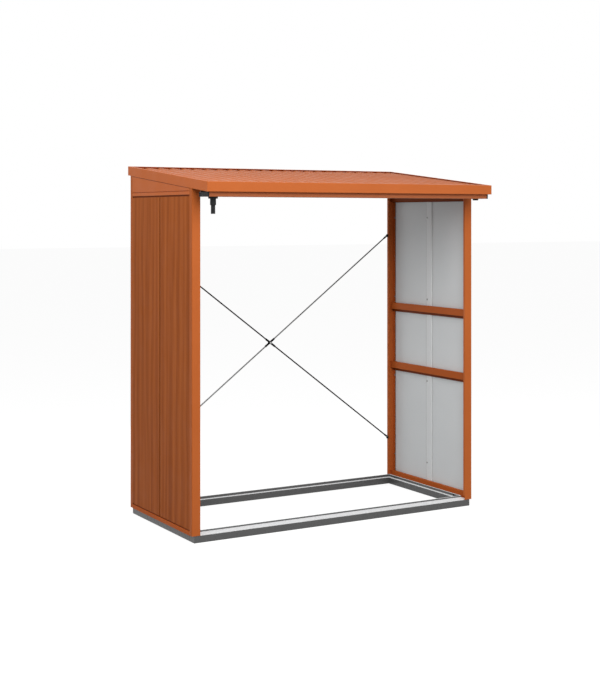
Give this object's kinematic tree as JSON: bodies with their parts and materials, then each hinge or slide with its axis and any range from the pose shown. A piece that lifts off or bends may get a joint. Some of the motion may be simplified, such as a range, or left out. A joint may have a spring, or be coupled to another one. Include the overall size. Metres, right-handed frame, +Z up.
{
  "type": "log store",
  "caption": "Open-fronted log store in folded orange sheet steel, with wood-grain side walls, a sloping ribbed roof, a front gutter with an outlet and a crossed brace at the back.",
  "frame": {"origin": "on the ground, under the middle of the roof's outline", "axes": "+Z up, open front with the gutter towards -Y, +X to the right as seen from the front"},
  "size_m": [1.8174, 1.0276, 1.9847],
  "materials": {
    "orange_sheet": "satin",
    "woodgrain_panel": "satin wood-grain print",
    "pale_grey_strip": "satin",
    "roof_sheet": "satin",
    "grey_sill": "semi-gloss",
    "brace_rod": "galvanised",
    "brace_fitting": "matte",
    "black_plastic": "matte"
  },
  "bodies": {
    "root": {"back_fascia": "orange_sheet", "back_header": "orange_sheet", "back_left_post": "orange_sheet", "back_right_post": "orange_sheet", "back_sill": "grey_sill", "brace_clip": "brace_fitting", "falling_brace": "brace_rod", "front_fascia": "orange_sheet", "front_header": "orange_sheet", "front_left_post": "orange_sheet", "front_right_post": "orange_sheet", "front_sill": "grey_sill", "gutter": "orange_sheet", "gutter_left_cap": "black_plastic", "gutter_outlet": "black_plastic", "gutter_plug": "black_plastic", "gutter_right_cap": "black_plastic", "left_back_panel": "woodgrain_panel", "left_bottom_rail": "orange_sheet", "left_falling_brace_end": "brace_fitting", "left_fascia": "orange_sheet", "left_front_panel": "woodgrain_panel", "left_gable": "orange_sheet", "left_lower_rail": "orange_sheet", "left_rising_brace_end": "brace_fitting", "left_roof_sheet": "roof_sheet", "left_seam_strip": "pale_grey_strip", "left_sill": "grey_sill", "left_top_rail": "orange_sheet", "left_upper_rail": "orange_sheet", "middle_roof_sheet": "roof_sheet", "right_back_panel": "woodgrain_panel", "right_bottom_rail": "orange_sheet", "right_falling_brace_end": "brace_fitting", "right_fascia": "orange_sheet", "right_front_panel": "woodgrain_panel", "right_gable": "orange_sheet", "right_lower_rail": "orange_sheet", "right_rising_brace_end": "brace_fitting", "right_roof_sheet": "roof_sheet", "right_seam_strip": "pale_grey_strip", "right_sill": "grey_sill", "right_top_rail": "orange_sheet", "right_upper_rail": "orange_sheet", "rising_brace": "brace_rod"}
  },
  "joints": []
}
